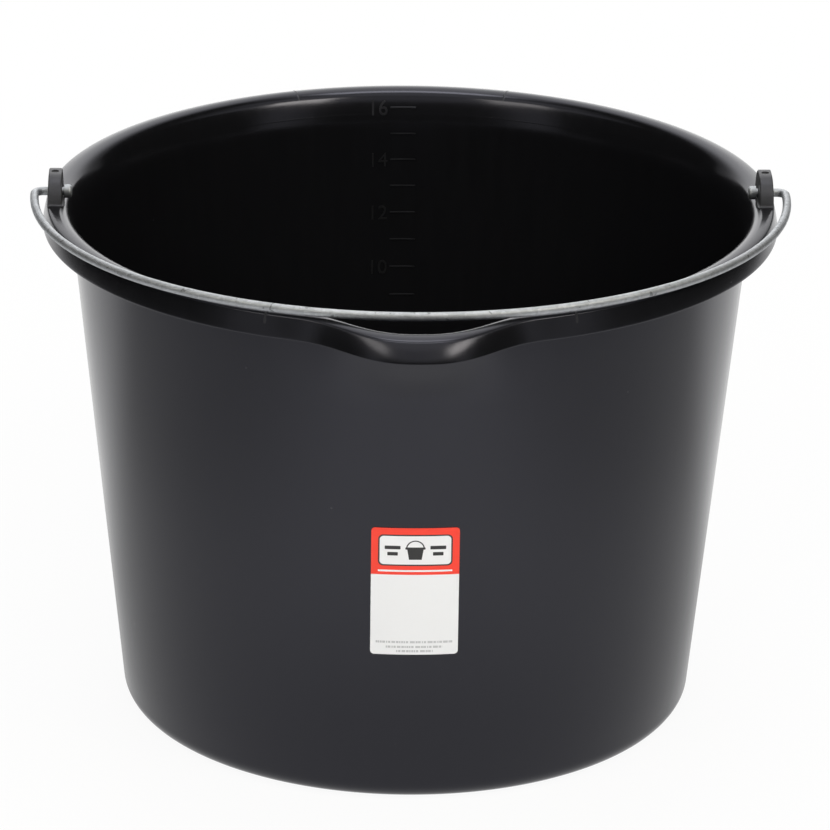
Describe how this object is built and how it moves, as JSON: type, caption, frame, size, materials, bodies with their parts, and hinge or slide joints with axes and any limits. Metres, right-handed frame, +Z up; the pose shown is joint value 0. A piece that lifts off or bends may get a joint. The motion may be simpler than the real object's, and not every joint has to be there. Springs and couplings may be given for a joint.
{
  "type": "builders bucket",
  "caption": "Tapered black plastic builders bucket with an out-turned rim, pouring lip, moulded ears, inside litre scale, front label and a swinging wire bail.",
  "frame": {"origin": "centre of the base, on the ground and on the bucket's axis", "axes": "+Z up along the axis, -Y towards the pouring lip and the label, +X and -X towards the ears"},
  "size_m": [0.358, 0.365, 0.2628],
  "materials": {
    "black_plastic": "satin moulded polypropylene",
    "galvanised_wire": "galvanised, dull and mottled",
    "printed_label": "printed paper, red head over a white field"
  },
  "bodies": {
    "bucket": {"bucket_body": "black_plastic", "label": "printed_label"},
    "bail": {"bail": "galvanised_wire"}
  },
  "joints": [
    {"name": "bail_swing", "type": "hinge", "parent": "bucket", "child": "bail", "pos_m": [0, 0, 0.25285], "axis": [-1, 0, 0], "range_deg": [0, 180]}
  ]
}
